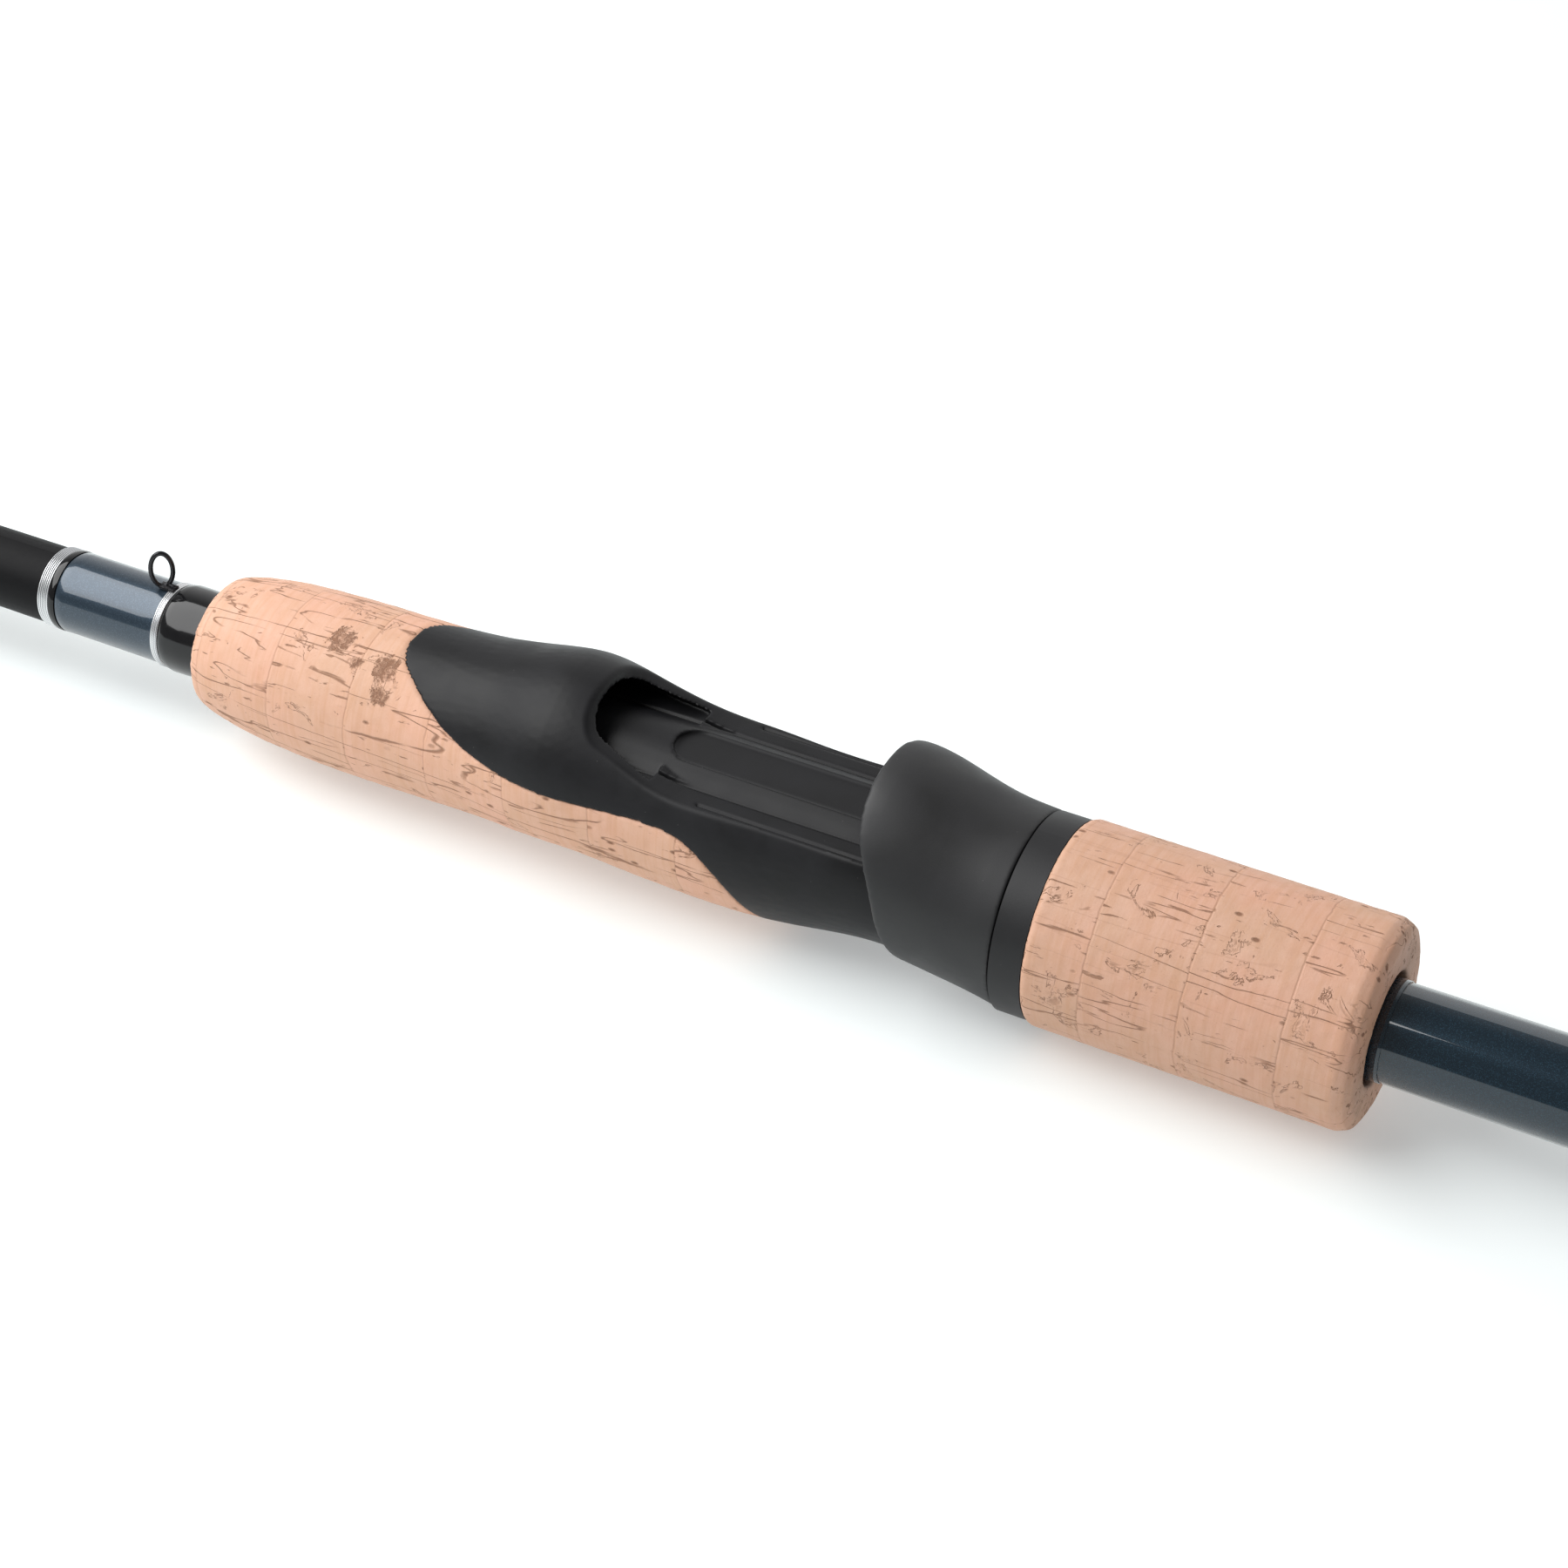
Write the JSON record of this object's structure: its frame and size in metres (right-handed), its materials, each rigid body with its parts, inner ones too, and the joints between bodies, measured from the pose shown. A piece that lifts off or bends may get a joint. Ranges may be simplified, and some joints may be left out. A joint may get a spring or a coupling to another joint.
{
  "type": "spinning rod",
  "caption": "Two-piece spinning fishing rod with split cork handle, screw-down reel seat, hook keeper, line guides and a put-over ferrule.",
  "frame": {"origin": "centre of the butt cap's flat end face, on the blank's axis", "axes": "+X along the rod to the tip, +Z the side of the reel seat and line guides"},
  "size_m": [2.0993, 0.0296, 0.0551],
  "materials": {
    "grip_rubber": "matt",
    "cork": "sanded cork",
    "collar_plastic": "satin",
    "seat_plastic": "soft satin",
    "blank_coating": "metallic gloss",
    "black_thread": "thread under epoxy",
    "gloss_epoxy": "gloss",
    "silver_thread": "metallic thread",
    "navy_thread": "thread under epoxy",
    "keeper_wire": "black",
    "arbor_board": "plain",
    "guide_metal": "dark gloss",
    "guide_ceramic": "polished"
  },
  "bodies": {
    "handle": {"butt_cap": "grip_rubber", "butt_grip": "cork", "foregrip": "cork", "butt_trim": "collar_plastic", "reel_seat": "seat_plastic", "butt_blank": "blank_coating", "rear_trim_wrap": "black_thread", "front_band": "black_thread", "foregrip_wrap": "gloss_epoxy", "keeper_band": "silver_thread", "front_trim": "silver_thread", "keeper_wrap": "navy_thread", "hook_keeper": "keeper_wire", "seat_arbor_front": "arbor_board", "seat_arbor_middle": "arbor_board", "seat_arbor_rear": "arbor_board", "guide_1_frame": "guide_metal", "guide_1_ring": "guide_ceramic", "guide_1_wrap": "black_thread"},
    "hood": {"sliding_hood": "seat_plastic"},
    "nut": {"nut_collar": "collar_plastic", "nut_grip": "cork"},
    "tip": {"tip_blank": "blank_coating", "ferrule_wrap": "black_thread", "tip_top_frame": "guide_metal", "tip_top_ring": "guide_ceramic", "tip_top_wrap": "black_thread", "guide_2_frame": "guide_metal", "guide_2_ring": "guide_ceramic", "guide_2_wrap": "black_thread", "guide_3_frame": "guide_metal", "guide_3_ring": "guide_ceramic", "guide_3_wrap": "black_thread", "guide_4_frame": "guide_metal", "guide_4_ring": "guide_ceramic", "guide_4_wrap": "black_thread", "guide_5_frame": "guide_metal", "guide_5_ring": "guide_ceramic", "guide_5_wrap": "black_thread", "guide_6_frame": "guide_metal", "guide_6_ring": "guide_ceramic", "guide_6_wrap": "black_thread", "guide_7_frame": "guide_metal", "guide_7_ring": "guide_ceramic", "guide_7_wrap": "black_thread"}
  },
  "joints": [
    {"name": "hood_slide", "type": "slide", "parent": "handle", "child": "hood", "axis": [-1, 0, 0], "range_m": [0, 0.02]},
    {"name": "nut_spin", "type": "hinge", "parent": "hood", "child": "nut", "pos_m": [0.26, 0, 0], "axis": [-1, 0, 0], "range_deg": [0, 2880.5]},
    {"name": "tip_section", "type": "slide", "parent": "handle", "child": "tip", "axis": [1, 0, 0], "range_m": [0, 0.065]}
  ],
  "couplings": [
    {"joint": "nut_spin", "follows": "hood_slide", "rad_per_m": 2513.3}
  ]
}
